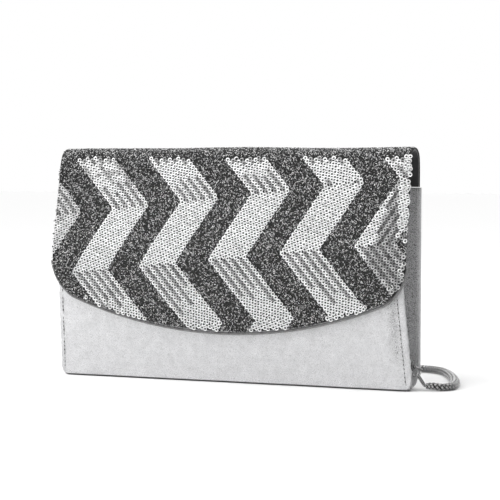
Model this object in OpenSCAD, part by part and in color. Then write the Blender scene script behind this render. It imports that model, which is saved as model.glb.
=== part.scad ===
// Flap-over evening clutch on a braided chain strap.
// Millimetres. X runs along the width, the front faces -Y, +Z is up, and the base stands on z = 0.

/* [Pouch] */
// Width of the pouch at its base
pouch_w = 245; // [236:1:250]
// How much each side edge of the front panel leans in, per millimetre of height
side_taper = 0.058; // [0.03:0.001:0.1]
// Radius of the front panel's lower corners
corner_r = 6; // [4:0.5:8]
// Outer face of the back panel
back_y = 17.4; // [17:0.1:17.6]
// Radius of the fold between the base and the back
back_fold_r = 10; // [8:0.5:11]
// Depth of the side pleat at the mouth
pleat_top = 24; // [22:0.5:25]
// Depth of the side pleat at the base
pleat_base = 12; // [11:0.5:13]

/* [Layers] */
// Thickness of the metallic leatherette
skin_t = 1; // [0.8:0.1:1]
// Thickness of the stiffening board
board_t = 0.8; // [0.6:0.1:0.8]
// Thickness of the lining cloth
lining_t = 0.5; // [0.4:0.05:0.5]
// Thickness of the sequin and bead layer
sequin_t = 0.6; // [0.4:0.1:0.6]
// Thickness of the flap's ground cloth
ground_t = 0.6; // [0.4:0.1:0.6]

/* [Flap] */
// Width of the flap across its lower corners
flap_w = 243; // [236:1:243]
// Height of the flap's lowest point
flap_low_z = 34; // [33:0.5:36]
// Radius of the flap's curved lower edge
flap_edge_r = 278; // [260:1:300]
// Radius of the piping round the flap's edge
piping_r = 0.9; // [0.7:0.1:0.9]

/* [Zigzag bands] */
// Distance from one silver band to the next
band_pitch = 48.6; // [46:0.2:52]
// Width of a silver band, measured level
silver_w = 26; // [20:0.5:30]

/* [Snap] */
// Height of the magnetic snap above the base
snap_z = 50; // [48:1:52]
// Radius of the snap's socket
socket_r = 7; // [6:0.5:7.5]

/* [Chain] */
// Diameter of the braided chain
chain_d = 5; // [4.5:0.1:5]
// Radius of the wire in the rings and links
wire_r = 0.7; // [0.5:0.05:0.7]

/* [Hidden] */

SILVER = [0.78, 0.78, 0.79];
PEWTER = [0.27, 0.27, 0.28];
SEQUIN = [0.86, 0.86, 0.87];
LINING = [0.22, 0.22, 0.23];
BOARD = [0.62, 0.55, 0.44];
METAL = [0.5, 0.5, 0.5];

// Side profile of the front panel's outer face, as [y, z] from the base to the mouth
front_knots = [[-3, 0], [-6.6, 20], [-10.3, 40], [-13.7, 60], [-15.2, 74], [-15, 86],
               [-12.6, 98], [-8.6, 112], [-5.4, 127.5]];
// Side profile of the flap's outer face, from its lower edge over the top to the back seam
flap_knots = [[-13.8, 34], [-16.5, 46], [-18.1, 60], [-18.7, 74], [-18.4, 86], [-16.2, 98],
              [-12.5, 112], [-9.4, 127], [-6.9, 140], [-3.2, 149.5], [3.5, 153], [11, 152.6],
              [17, 148.5], [18.7, 141], [18.7, 127.8]];
// The knot at which the flap folds on its soft top
fold_knot = 8;
steps = 4;
mouth_z = front_knots[len(front_knots) - 1][1];
front_t = skin_t + board_t + lining_t;
body_gap = 0.3;
base_y = front_knots[0][0];
crease_y = 5;
gusset_t = 0.8;
base_t = 1;
far = 400;

// ---- curves ----

// Point of a Catmull-Rom curve through the knots, between knot i and the next
function knot(p, i) = p[max(0, min(len(p) - 1, i))];
function spline(p, i, t) =
    let (a = knot(p, i - 1), b = knot(p, i), c = knot(p, i + 1), d = knot(p, i + 2))
    0.5 * (2 * b + (c - a) * t + (2 * a - 5 * b + 4 * c - d) * t * t
           + (3 * b - a - 3 * c + d) * t * t * t);
function smooth(p, n) = concat([for (i = [0:len(p) - 2], s = [0:n - 1]) spline(p, i, s / n)],
                               [knot(p, len(p) - 1)]);
function unit(v) = v / norm(v);
// The line moved sideways by d, to the right of its own direction in the [y, z] plane
function beside(line, d) = [for (i = [0:len(line) - 1])
    let (a = knot(line, i - 1), b = knot(line, i + 1), t = unit(b - a))
    line[i] + d * [t[1], -t[0]]];
// Part of a line, by index
function part(line, a, b) = [for (i = [a:b]) line[i]];
// The line with its last point pulled back by g
function pulled(line, g) = let (n = len(line) - 1)
    [for (i = [0:n]) i < n ? line[i] : line[n] + g * unit(line[n - 1] - line[n])];
function reversed(line) = [for (i = [len(line) - 1:-1:0]) line[i]];
// Depth of a side profile at a height
function depth_at(line, z) = lookup(z, [for (p = line) [p[1], p[0]]]);

front_line = smooth(front_knots, steps);
flap_line = smooth(flap_knots, steps);
flap_front_line = pulled(part(flap_line, 0, fold_knot * steps), body_gap);
spine_line = part(flap_line, fold_knot * steps, len(flap_line) - 1);

// ---- building blocks ----

// A bent sheet: its side profile carried along X
module sheet(line, near, deep, w) {
    rotate([90, 0, 90])
        translate([0, 0, -w / 2])
            linear_extrude(w)
                polygon(concat(beside(line, near), reversed(beside(line, deep))));
}

// A solid through a list of rings with equal numbers of points
module loft(rings) {
    n = len(rings[0]);
    last = len(rings) - 1;
    polyhedron(
        points = [for (r = rings, p = r) p],
        faces = concat(
            [[for (j = [0:n - 1]) j]],
            [for (i = [0:last - 1], j = [0:n - 1]) [i * n + j, (i + 1) * n + j, i * n + (j + 1) % n]],
            [for (i = [0:last - 1], j = [0:n - 1])
                [i * n + (j + 1) % n, (i + 1) * n + j, (i + 1) * n + (j + 1) % n]],
            [[for (j = [n - 1:-1:0]) last * n + j]]));
}

// An eight-sided tube of radius r along a route; up is a direction that the route never takes
module tube(route, r, up) {
    last = len(route) - 1;
    loft([for (i = [0:last])
        let (t = unit(route[min(i + 1, last)] - route[max(i - 1, 0)]),
             s = unit(cross(t, up)), u = cross(s, t))
        [for (k = [0:7]) route[i] + r * (cos(45 * k) * s + sin(45 * k) * u)]]);
}

// A round ring of wire about the local Z axis
module ring(mid_r, wire) {
    rotate_extrude($fn = 48) translate([mid_r, 0]) circle(wire, $fn = 24);
}

// An oval link of wire along the local X axis, from its first bend's centre to its second
module oval(length, mid_r, wire) {
    rotate([0, 0, 90]) rotate_extrude(angle = 180, $fn = 48)
        translate([mid_r, 0]) circle(wire, $fn = 24);
    translate([length, 0, 0]) rotate([0, 0, -90]) rotate_extrude(angle = 180, $fn = 48)
        translate([mid_r, 0]) circle(wire, $fn = 24);
    for (s = [-1, 1])
        translate([0, s * mid_r, 0]) rotate([0, 90, 0]) cylinder(r = wire, h = length, $fn = 24);
}

module mirrored(side) {
    if (side == "left") mirror([1, 0, 0]) children();
    else children();
}

// ---- outlines, as seen from the front ----

// The front panel: narrower towards the mouth, with round lower corners
module front_outline(inset) {
    half = pouch_w / 2 - inset;
    r = corner_r;
    low = inset;
    arc = [for (a = [-90:15:0]) [half - r + r * cos(a), low + r + r * sin(a)]];
    right = concat(arc, [[half - side_taper * mouth_z, mouth_z]]);
    polygon(concat(right, [for (p = reversed(right)) [-p[0], p[1]]]));
}

module cut_to_front(inset) {
    intersection() {
        children();
        translate([0, far / 2, 0]) rotate([90, 0, 0]) linear_extrude(far) front_outline(inset);
    }
}

flap_half = flap_w / 2;
corner_x = flap_half - 18;
function flap_edge_z(x) = flap_low_z + flap_edge_r - sqrt(pow(flap_edge_r, 2) - x * x);
function bezier(a, b, c, t) = (1 - t) * (1 - t) * a + 2 * t * (1 - t) * b + t * t * c;
corner_z = flap_edge_z(corner_x);
side_foot = [flap_half, corner_z + 24];
// Right half of the flap's outline, from the middle of its lower edge up its side
flap_right = concat(
    [for (k = [0:9]) [corner_x * k / 10, flap_edge_z(corner_x * k / 10)]],
    [for (k = [0:8]) bezier([corner_x, corner_z], [flap_half - 3.5, corner_z + 5], side_foot, k / 8)],
    [[flap_half, 160]]);
flap_outline = concat(reversed([for (p = flap_right) [-p[0], p[1]]]), flap_right);

module cut_to_flap(inset) {
    intersection() {
        children();
        translate([0, far / 2, 0]) rotate([90, 0, 0]) linear_extrude(far)
            polygon([for (p = flap_outline)
                [p[0] * (1 - inset / flap_half), p[1] + (p[1] < corner_z + 12 ? inset : 0)]]);
    }
}

// Right-hand edge of the silver band whose upper corner is nearest the middle, at height w.
// The rows of corners climb to the right by row_climb, so w is a height less that climb.
row_climb = 0.105;
// Corners of that edge as [place across, height], from above the fold to below the flap
zigzag = [[-4.8, 201.1], [-37.9, 161.4], [-4.8, 121.7], [-31.6, 82], [-0.2, 40.6], [-30, 1]];
function band_side(shift) = [for (p = zigzag) let (x = p[0] + shift) [x, p[1] + row_climb * x]];

// Silver band number k, seen from the front; the bands run on past the flap's sides
module band_outline(k) {
    shift = (k - 3) * band_pitch;
    polygon(concat(band_side(shift - silver_w), reversed(band_side(shift))));
}

module cut_to_band(k) {
    intersection() {
        children();
        translate([0, far / 2, 0]) rotate([90, 0, 0]) linear_extrude(far) band_outline(k);
    }
}

// ---- pouch: back, base and sides ----

module back_sheet(near, deep, inset) {
    low = back_fold_r + body_gap + inset;
    translate([-pouch_w / 2 + inset, back_y - deep, low])
        cube([pouch_w - 2 * inset, deep - near, mouth_z - low - inset]);
}

module back_panel() {
    color(SILVER) back_sheet(0, skin_t, 0);
}

module back_board() {
    color(BOARD) back_sheet(skin_t, skin_t + board_t, 4);
}

module back_lining() {
    color(LINING) back_sheet(skin_t + board_t, front_t, 2);
}

// Side profile of the base, from the front edge round the fold to the back
function base_line(r) = concat(
    [[base_y + body_gap, 0]],
    [for (a = [-90:15:0]) [back_y - r + r * cos(a), r + r * sin(a)]]);

module base_sheet(near, deep, half_w) {
    outer = beside(base_line(back_fold_r), -near);
    inner = beside(base_line(back_fold_r), -deep);
    rotate([90, 0, 90]) translate([0, 0, -half_w]) linear_extrude(2 * half_w)
        polygon(concat(outer, reversed(inner)));
}

module bottom_panel() {
    color(SILVER) base_sheet(0, base_t, pouch_w / 2 - corner_r + 2);
}

module base_board() {
    color(BOARD)
        translate([-pouch_w / 2 + 10, base_y + 2, base_t])
            cube([pouch_w - 20, back_y - back_fold_r - base_y - 2, board_t]);
}

module bottom_lining() {
    color(LINING)
        translate([-pouch_w / 2 + 10, base_y + 2.2, base_t + board_t])
            cube([pouch_w - 20, back_y - back_fold_r - base_y - 3, lining_t]);
}

pocket_w = 150;
pocket_h = 78;
pocket_top = 112;
pocket_gap = 1.2;
// A flat slip pocket on the back lining: a cloth face stitched along its sides and foot
module slip_pocket() {
    face_y = back_y - front_t - pocket_gap - lining_t;
    color(LINING) {
        translate([-pocket_w / 2, face_y, pocket_top - pocket_h])
            cube([pocket_w, lining_t, pocket_h]);
        for (x = [-pocket_w / 2, pocket_w / 2 - 2])
            translate([x, face_y, pocket_top - pocket_h]) cube([2, pocket_gap + lining_t, pocket_h]);
        translate([-pocket_w / 2, face_y, pocket_top - pocket_h])
            cube([pocket_w, pocket_gap + lining_t, 2]);
    }
}

// How much further in from the front's side the pleat's seam runs, for each unit of height
seam_slant = 0.025;

// The side pleat: its crease, its rear edge on the back and its front edge on the front panel
gusset_low = 4;
gusset_z = [gusset_low, 16, 32, 48, 64, 80, 96, 112, mouth_z];
function pleat(z) = pleat_base + (pleat_top - pleat_base) * (z - gusset_low) / (mouth_z - gusset_low);
function crease(z) = [pouch_w / 2 - pleat(z), crease_y];
function rear_edge(z) = [pouch_w / 2 - 0.6, (z < back_fold_r + 2 ? back_y - 3 : back_y) - front_t - 0.6];
function front_edge(z) = [pouch_w / 2 - (side_taper + seam_slant) * z - 0.6,
                          depth_at(beside(front_line, front_t), z) + 0.6];

// A thin wall between two upright lines, given as lists of [x, y] at the heights in gusset_z
module gusset_wall(near_line, far_line) {
    loft([for (i = [0:len(gusset_z) - 1])
        let (a = near_line[i], b = far_line[i], z = gusset_z[i],
             d = unit(b - a), n = gusset_t / 2 * [-d[1], d[0]])
        [[a[0] + n[0], a[1] + n[1], z], [a[0] - n[0], a[1] - n[1], z],
         [b[0] - n[0], b[1] - n[1], z], [b[0] + n[0], b[1] + n[1], z]]]);
}

crease_gap = [0, body_gap / 2 + gusset_t / 2];

module gusset_rear(side) {
    color(SILVER) mirrored(side)
        gusset_wall([for (z = gusset_z) crease(z) + crease_gap], [for (z = gusset_z) rear_edge(z)]);
}

module gusset_front(side) {
    color(SILVER) mirrored(side)
        gusset_wall([for (z = gusset_z) front_edge(z)], [for (z = gusset_z) crease(z) - crease_gap]);
}

// ---- D-rings on leather tabs, in the top of each pleat ----

ring_z = 112;
ring_mid = 3.6;
ring_wire = 0.8;
ring_off = 3.4;
tab_w = 5.4;
// The rear wall of the pleat at the ring's height, and how far it is turned from X
wall_a = crease(ring_z);
wall_b = rear_edge(ring_z);
wall_turn = atan2(wall_b[1] - wall_a[1], wall_b[0] - wall_a[0]);
tab_at = wall_a + 0.28 * (wall_b - wall_a);

// Local frame on the pleat's rear wall: X out along the wall, -Y off the wall into the pleat
module on_wall(side) {
    mirrored(side) translate([tab_at[0], tab_at[1], ring_z]) rotate([0, 0, wall_turn]) children();
}

module ring_tab(side) {
    color(SILVER) on_wall(side) difference() {
        union() {
            translate([-tab_w / 2, -2, 1.2]) cube([tab_w, 1.55, 12]);
            translate([-tab_w / 2, -ring_off, 0]) rotate([0, 90, 0])
                cylinder(r = 1.9, h = tab_w, $fn = 32);
        }
        translate([-tab_w, -ring_off, 0]) rotate([0, 90, 0])
            cylinder(r = ring_wire + 0.06, h = 2 * tab_w, $fn = 32);
    }
}

module d_ring(side) {
    color(METAL) on_wall(side) translate([0, -ring_off, 0]) {
        translate([-ring_mid, 0, 0]) rotate([0, 90, 0])
            cylinder(r = ring_wire, h = 2 * ring_mid, $fn = 32);
        for (s = [-1, 1]) {
            translate([s * ring_mid, 0, 0]) sphere(ring_wire, $fn = 24);
            translate([s * ring_mid, 0, -3]) cylinder(r = ring_wire, h = 3, $fn = 24);
        }
        translate([0, 0, -3]) rotate([-90, 0, 0]) rotate_extrude(angle = 180, $fn = 48)
            translate([ring_mid, 0]) circle(ring_wire, $fn = 24);
    }
}

// ---- front panel ----

snap_y = depth_at(front_line, snap_z);
snap_lean = 9.4;
// Local frame of the snap: +Z straight out of the front panel
module at_snap() {
    translate([0, snap_y, snap_z]) rotate([90 + snap_lean, 0, 0]) children();
}

module front_panel() {
    color(SILVER) difference() {
        cut_to_front(0) translate([0, 0, base_t + body_gap]) intersection() {
            translate([0, 0, -base_t - body_gap]) sheet(front_line, 0, skin_t, pouch_w + 10);
            translate([-far / 2, -far / 2, 0]) cube(far);
        }
        at_snap() translate([0, 0, -5]) cylinder(r = 2.2, h = 10, $fn = 32);
    }
}

module front_board() {
    color(BOARD) difference() {
        cut_to_front(5) sheet(front_line, skin_t, skin_t + board_t, pouch_w);
        at_snap() translate([0, 0, -5]) cylinder(r = 6.4, h = 10, $fn = 32);
    }
}

module front_lining() {
    color(LINING) intersection() {
        cut_to_front(3) sheet(front_line, skin_t + board_t, front_t, pouch_w);
        translate([-far / 2, -far / 2, 4]) cube([far, far, mouth_z - 4.8]);
    }
}

binding_t = 0.5;
binding_h = 6;
// A folded strip over the front panel's top edge
module front_top_binding() {
    last = len(front_line) - 1;
    under = part(front_line, last - 4, last);
    over = concat(under, [front_line[last] + binding_t * unit(front_line[last] - front_line[last - 1])]);
    width = pouch_w - 2 * (side_taper + seam_slant) * mouth_z - 3;
    color(SILVER) intersection() {
        difference() {
            sheet(over, -binding_t, front_t + binding_t, width);
            sheet(under, 0, front_t, width + 2);
        }
        translate([-far / 2, -far / 2, mouth_z - binding_h]) cube(far);
    }
}

// ---- magnetic snap ----

socket_t = 1.2;
module snap_socket() {
    color(METAL) at_snap() difference() {
        union() {
            translate([0, 0, 0.12]) cylinder(r = socket_r, h = socket_t, $fn = 64);
            translate([0, 0, -1.75]) cylinder(r = 2, h = 2, $fn = 32);
        }
        translate([0, 0, 0.12 + socket_t - 0.8]) cylinder(r = 4, h = 2, $fn = 48);
    }
}

module washer(outer_r, hole_r, low, t) {
    translate([0, 0, low]) difference() {
        cylinder(r = outer_r, h = t, $fn = 48);
        translate([0, 0, -1]) cylinder(r = hole_r, h = t + 2, $fn = 32);
    }
}

module snap_socket_washer() {
    color(METAL) at_snap() washer(6.2, 2.05, -1.76, 0.55);
}

stud_low = 1.47;
stud_t = 0.7;
module snap_stud() {
    color(METAL) at_snap() {
        translate([0, 0, stud_low]) cylinder(r = socket_r - 0.5, h = stud_t, $fn = 64);
        translate([0, 0, stud_low - 0.65]) cylinder(r = 2.6, h = 0.65, $fn = 48);
        translate([0, 0, stud_low + stud_t]) cylinder(r = 1.5, h = 1.3, $fn = 32);
    }
}

module snap_stud_washer() {
    color(METAL) at_snap() washer(5.2, 1.55, 3.05, 0.5);
}

// ---- flap ----

layer_1 = sequin_t;
layer_2 = layer_1 + ground_t;
layer_3 = layer_2 + board_t;
layer_4 = layer_3 + lining_t;

module stud_hole(r) {
    difference() {
        children();
        at_snap() cylinder(r = r, h = 10, $fn = 32);
    }
}

module flap_ground() {
    color(PEWTER) cut_to_flap(0.4) sheet(flap_front_line, layer_1, layer_2, flap_w + 10);
}

module flap_board() {
    color(BOARD) stud_hole(5.4) cut_to_flap(4) sheet(flap_front_line, layer_2, layer_3, flap_w);
}

module flap_lining() {
    color(LINING) stud_hole(1.7) cut_to_flap(1) sheet(flap_front_line, layer_3, layer_4, flap_w);
}

module flap_sequin_band(k) {
    color(SEQUIN) cut_to_band(k) cut_to_flap(0.6) sheet(flap_front_line, 0, layer_1, flap_w);
}

module flap_bead_bands() {
    color(PEWTER) difference() {
        cut_to_flap(0.6) sheet(flap_front_line, 0, layer_1, flap_w);
        for (k = [1:6])
            translate([0, far / 2, 0]) rotate([90, 0, 0]) linear_extrude(far) band_outline(k);
    }
}

// Corded piping round the flap's edge, just outside its layers
module flap_edge_piping() {
    path = [for (p = flap_outline) if (p[1] < 150)
        [p[0] + (abs(p[0]) > corner_x + 8 ? sign(p[0]) * 0.5 : 0),
         depth_at(beside(flap_front_line, layer_3), min(p[1], 139)) ,
         p[1] - (abs(p[0]) > corner_x + 8 ? 0 : piping_r)]];
    color(PEWTER) tube([for (p = path) if (p[2] < 139) p], piping_r, [0, 1, 0]);
}

// ---- soft top between the flap and the back seam ----

module spine_ground() {
    color(PEWTER) cut_to_flap(0.4) sheet(spine_line, layer_1, layer_2, flap_w);
}

module spine_lining() {
    color(LINING) cut_to_flap(1) sheet(spine_line, layer_2, layer_4, flap_w);
}

// The silver bands run on over the fold and end below the crown of the arch
spine_silver_top = 147.5;
module spine_strips() {
    intersection() {
        for (k = [1:6])
            rotate([90, 0, 0]) linear_extrude(far) band_outline(k);
        translate([-far / 2, -far, 0]) cube([far, far, spine_silver_top]);
    }
}

module spine_sequin_bands() {
    color(SEQUIN) intersection() {
        cut_to_flap(0.6) sheet(spine_line, 0, layer_1, flap_w);
        spine_strips();
    }
}

module spine_bead_bands() {
    color(PEWTER) difference() {
        cut_to_flap(0.6) sheet(spine_line, 0, layer_1, flap_w);
        spine_strips();
    }
}

// ---- chain strap ----

chain_r = chain_d / 2;
// Points on the strap's way down inside either pleat
anchor_knots = [[107.5, 4.5, 92], [107.4, 4.5, 86], [107.7, 4.4, 80], [108.2, 4.3, 74],
                [108.8, 4.3, 68], [109.4, 4.3, 62], [110, 4.3, 56], [110.6, 4.4, 50],
                [111.3, 4.5, 44], [112.1, 4.5, 38]];
// and on to its mouth: the right strap comes out sideways, the left one turns to the back
right_foot_knots = [[113, 4.8, 32], [114.1, 5.4, 27], [115.4, 6, 22.6]];
left_foot_knots = [[113.1, 4, 32], [114.6, 3.2, 27], [116.6, 3.2, 22.3]];
// Points on the strap's way along the floor, from its right end to the coil
right_knots = [[136.6, 7.3, 2.6], [139.9, 9.4, 2.5], [142, 12.6, 2.5], [142.8, 16.5, 2.5],
               [142.2, 25, 2.5], [140.4, 35, 2.5], [137.6, 46, 2.5], [134, 57, 2.5],
               [130, 67, 2.5], [125.5, 77, 2.5], [120, 84.5, 2.5], [112.5, 89.5, 2.5],
               [103, 91, 2.5], [91, 91, 2.5], [79, 91, 2.5], [67, 91, 2.5], [55, 91, 2.5],
               [45, 91, 2.5]];
// and from its left end, up on to the coil's second layer
left_knots = [[-130.6, 19.2, 2.6], [-131.8, 24, 2.5], [-131.8, 31, 2.5], [-130, 39, 2.5],
              [-125, 49, 2.5], [-117, 59, 2.5], [-107, 68, 2.5], [-95, 76, 2.5],
              [-81, 82.5, 2.5], [-66, 87, 2.5], [-50, 90, 2.5], [-35, 91, 2.5], [-21, 91, 2.5],
              [-8, 91, 2.8], [5, 91, 4.6], [18, 91, 6.8], [31, 91, 7.5], [45, 91, 7.5]];
coil_x = 45;
coil_y = 58;
coil_mid = 28;

module anchor_chain(side) {
    last = side == "left" ? left_foot_knots : right_foot_knots;
    color(METAL) mirrored(side)
        tube(concat([hang_foot], anchor_knots, last, [mouth_foot(side)]), chain_r, [0, 1, 0]);
}

module chain_right_run() {
    color(METAL) tube(concat([cap_foot("right")], right_knots), chain_r, [0, 0, 1]);
}

module chain_left_run() {
    start = cap_foot("left");
    color(METAL) tube(concat([[-start[0], start[1], start[2]]], left_knots), chain_r, [0, 0, 1]);
}

// The outer shape of the coiled spare length: three turns wide and two high
module chain_coil() {
    half = 1.5 * chain_d;
    color(METAL) translate([coil_x, coil_y, 0]) rotate_extrude($fn = 64)
        translate([coil_mid, 0])
            polygon([[-half + 1, 0], [half - 1, 0], [half, 1.5], [half, 2 * chain_d - 1.5],
                     [half - 1, 2 * chain_d], [-half + 1, 2 * chain_d],
                     [-half, 2 * chain_d - 1.5], [-half, 1.5]]);
}

// The hardware at a pleat's mouth, on a line that runs down and outwards at strap_dip and is
// turned to the back by strap_turn; both sides are given as if on the right
strap_dip = 56;
function strap_turn(side) = side == "left" ? 50 : 0;
function mouth_at(side) = side == "left" ? [122.1, 7.4, 11.5] : [121.8, 6.5, 11.5];
function heading(side) = [cos(strap_turn(side)), sin(strap_turn(side)), 0];
function strap_line(side) = cos(strap_dip) * heading(side) - [0, 0, sin(strap_dip)];
module on_strap(side) {
    mirrored(side) translate(mouth_at(side)) rotate([0, 0, strap_turn(side)])
        rotate([0, strap_dip, 0]) children();
}

cap_r = chain_r + 0.35;
cap_h = 3.4;
eye_mid = 1.5;
eye_wire = 0.45;
cap_all = cap_h + eye_mid - 0.2;
// A crimped cup on the end of the braid with a wire eye; +X points from the braid to the eye
module end_cap() {
    rotate([0, 90, 0]) cylinder(r = cap_r, h = cap_h, $fn = 32);
    translate([cap_all, 0, 0]) rotate([90, 0, 0]) ring(eye_mid, eye_wire);
}

mouth_ring_mid = 2.9;
module mouth_ring(side) {
    color(METAL) on_strap(side) rotate([90, 0, 0]) ring(mouth_ring_mid, wire_r);
}

// The cap's eye is turned across the mouth ring's wire
module lower_cap(side) {
    color(METAL) on_strap(side)
        translate([-mouth_ring_mid - cap_all, 0, 0]) rotate([90, 0, 0]) end_cap();
}
// Where the braid meets the foot of the lower cap
function mouth_foot(side) = mouth_at(side) - (mouth_ring_mid + cap_all) * strap_line(side);

oval_mid = 1.9;
oval_len = 5.6;
oval_start = mouth_ring_mid + 0.3;
// The link hangs on the mouth ring, turned across it
module oval_link(side) {
    color(METAL) on_strap(side)
        translate([oval_start, 0, 0]) oval(oval_len, oval_mid, wire_r * 0.8);
}

// The cap on the strap's end lies on the floor, with its eye on the link's lower bend
function link_end(side) = mouth_at(side) + (oval_start + oval_len + oval_mid) * strap_line(side);
function cap_foot(side) = let (e = link_end(side), h = (0.33 + cap_all) * heading(side))
    [e[0] + h[0], e[1] + h[1], cap_r + 0.05];
module strap_cap(side) {
    color(METAL) mirrored(side) translate(cap_foot(side))
        rotate([0, 0, 180 + strap_turn(side)]) end_cap();
}

// Middle of the D-ring's lowest wire, and the ring and cap that hang from it
hang_at = [tab_at[0] + ring_off * sin(wall_turn), tab_at[1] - ring_off * cos(wall_turn),
           ring_z - 3 - ring_mid];
jump_mid = 2.4;
jump_drop = 0.6;
module jump_ring(side) {
    color(METAL) mirrored(side) translate(hang_at - [0, 0, jump_drop])
        rotate([0, 0, wall_turn]) rotate([0, 90, 0]) ring(jump_mid, 0.5);
}

hang_foot = hang_at - [0, 0, jump_drop + jump_mid + 0.3 + cap_all];
module upper_cap(side) {
    color(METAL) mirrored(side) translate(hang_foot)
        rotate([0, 0, wall_turn]) rotate([0, -90, 0]) end_cap();
}

back_panel();
bottom_panel();
back_board();
base_board();
back_lining();
bottom_lining();
slip_pocket();
gusset_rear("right");  // right_gusset_rear
gusset_rear("left");  // left_gusset_rear
ring_tab("right");  // right_ring_tab
ring_tab("left");  // left_ring_tab
d_ring("right");  // right_d_ring
d_ring("left");  // left_d_ring
front_panel();
front_board();
front_lining();
front_top_binding();
gusset_front("right");  // right_gusset_front
gusset_front("left");  // left_gusset_front
snap_socket();
snap_socket_washer();
spine_ground();
spine_lining();
spine_sequin_bands();
spine_bead_bands();
flap_ground();
flap_board();
flap_lining();
flap_edge_piping();
flap_bead_bands();
snap_stud();
snap_stud_washer();
for (k = [1:6])
    flap_sequin_band(k);
jump_ring("right");  // right_jump_ring
upper_cap("right");  // right_upper_cap
anchor_chain("right");  // right_anchor_chain
lower_cap("right");  // right_lower_cap
mouth_ring("right");  // right_mouth_ring
oval_link("right");  // right_oval_link
strap_cap("right");  // right_strap_cap
chain_right_run();
chain_coil();
chain_left_run();
strap_cap("left");  // left_strap_cap
oval_link("left");  // left_oval_link
mouth_ring("left");  // left_mouth_ring
lower_cap("left");  // left_lower_cap
anchor_chain("left");  // left_anchor_chain
upper_cap("left");  // left_upper_cap
jump_ring("left");  // left_jump_ring
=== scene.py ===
# Flap-over evening clutch: silver leatherette pouch, sequined flap, braided chain strap.
# Everything is in metres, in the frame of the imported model; sizes below are given in millimetres.
import bpy
import numpy as np
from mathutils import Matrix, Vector


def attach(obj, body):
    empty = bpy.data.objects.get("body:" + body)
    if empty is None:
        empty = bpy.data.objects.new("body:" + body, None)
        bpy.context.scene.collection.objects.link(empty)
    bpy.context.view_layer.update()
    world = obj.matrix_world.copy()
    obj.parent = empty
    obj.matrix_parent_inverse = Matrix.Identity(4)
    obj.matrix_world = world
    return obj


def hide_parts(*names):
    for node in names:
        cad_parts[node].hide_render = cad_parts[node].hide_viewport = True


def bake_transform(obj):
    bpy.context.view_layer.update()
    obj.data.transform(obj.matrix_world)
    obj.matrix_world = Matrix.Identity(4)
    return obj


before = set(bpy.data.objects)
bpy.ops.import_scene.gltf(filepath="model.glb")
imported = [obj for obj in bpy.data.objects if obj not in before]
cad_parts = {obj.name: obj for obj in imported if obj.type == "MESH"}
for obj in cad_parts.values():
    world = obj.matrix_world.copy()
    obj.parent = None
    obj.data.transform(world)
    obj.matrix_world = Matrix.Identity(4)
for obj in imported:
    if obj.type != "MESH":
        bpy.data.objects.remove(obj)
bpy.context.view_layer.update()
MM = 0.001

# ---- The view: a pale floor under a soft white tent of light ----
# The camera stands a little to the right of the bag's front and just below its top. The tent is
# brightest overhead and dim on the right; two equal lamps, one high, stand at the front left.
lens = bpy.data.cameras.new("camera")
lens.lens, lens.sensor_width, lens.clip_start = 108, 36, 0.05
camera = bpy.data.objects.new("camera", lens)
camera.location = (0.3478, -0.9122, 0.1365)
camera.rotation_euler = (1.5197, 0, 0.35183)
bpy.context.scene.collection.objects.link(camera)
bpy.context.scene.camera = camera
bpy.context.scene.view_settings.view_transform = "Standard"


LAMP_SIZE, LAMP_POWER = 0.9, 9
BAG_MIDDLE = Vector((0, 0, 0.07))


def softbox(name, place):
    """A square lamp at a place, turned to face the middle of the bag."""
    lamp = bpy.data.lights.new(name, "AREA")
    lamp.size, lamp.energy = LAMP_SIZE, LAMP_POWER
    obj = bpy.data.objects.new(name, lamp)
    obj.location = place
    obj.rotation_euler = (Vector(place) - BAG_MIDDLE).to_track_quat("Z", "Y").to_euler()
    bpy.context.scene.collection.objects.link(obj)


softbox("lamp_above", (-0.45, -0.7, 1.3))
softbox("lamp_front", (-0.9, -1.5, 0.6))


def nodes_of(tree, *kinds):
    """New shader nodes of those kinds, by the last part of their names."""
    return [tree.nodes.new("ShaderNode" + kind) for kind in kinds]


# The tent's strength from below to overhead, the way it dims, and how dim it gets that way
TENT_LOW, TENT_HIGH = 0.45, 1.62
DIM_WAY = (0.9, -0.42, -0.1)
DIM_FROM, DIM_TO, DIM_LEFT = 0.1, 0.7, 0.05
world = bpy.data.worlds.new("white_tent")
world.use_nodes = True
bpy.context.scene.world = world
sky = world.node_tree
lit = sky.nodes["Background"]
lit.inputs["Color"].default_value = (1, 1, 1, 1)
heading, upward, height, shaded, dim, level, seen, which, either = nodes_of(
    sky, "TexCoord", "SeparateXYZ", "MapRange", "VectorMath", "MapRange", "Math", "Background",
    "LightPath", "MixShader")
height.inputs["To Min"].default_value, height.inputs["To Max"].default_value = TENT_LOW, TENT_HIGH
shaded.operation = "DOT_PRODUCT"
shaded.inputs[1].default_value = DIM_WAY
dim.inputs["From Min"].default_value, dim.inputs["From Max"].default_value = DIM_FROM, DIM_TO
dim.inputs["To Min"].default_value, dim.inputs["To Max"].default_value = 1.0, DIM_LEFT
level.operation = "MULTIPLY"
seen.inputs["Strength"].default_value = 1.0
seen.inputs["Color"].default_value = (1, 1, 1, 1)
sky.links.new(heading.outputs["Generated"], upward.inputs[0])
sky.links.new(upward.outputs["Z"], height.inputs["Value"])
sky.links.new(heading.outputs["Generated"], shaded.inputs[0])
sky.links.new(shaded.outputs["Value"], dim.inputs["Value"])
sky.links.new(height.outputs["Result"], level.inputs[0])
sky.links.new(dim.outputs["Result"], level.inputs[1])
sky.links.new(level.outputs[0], lit.inputs["Strength"])
sky.links.new(which.outputs["Is Camera Ray"], either.inputs["Fac"])
sky.links.new(lit.outputs[0], either.inputs[1])
sky.links.new(seen.outputs[0], either.inputs[2])
sky.links.new(either.outputs[0], sky.nodes["World Output"].inputs["Surface"])

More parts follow.
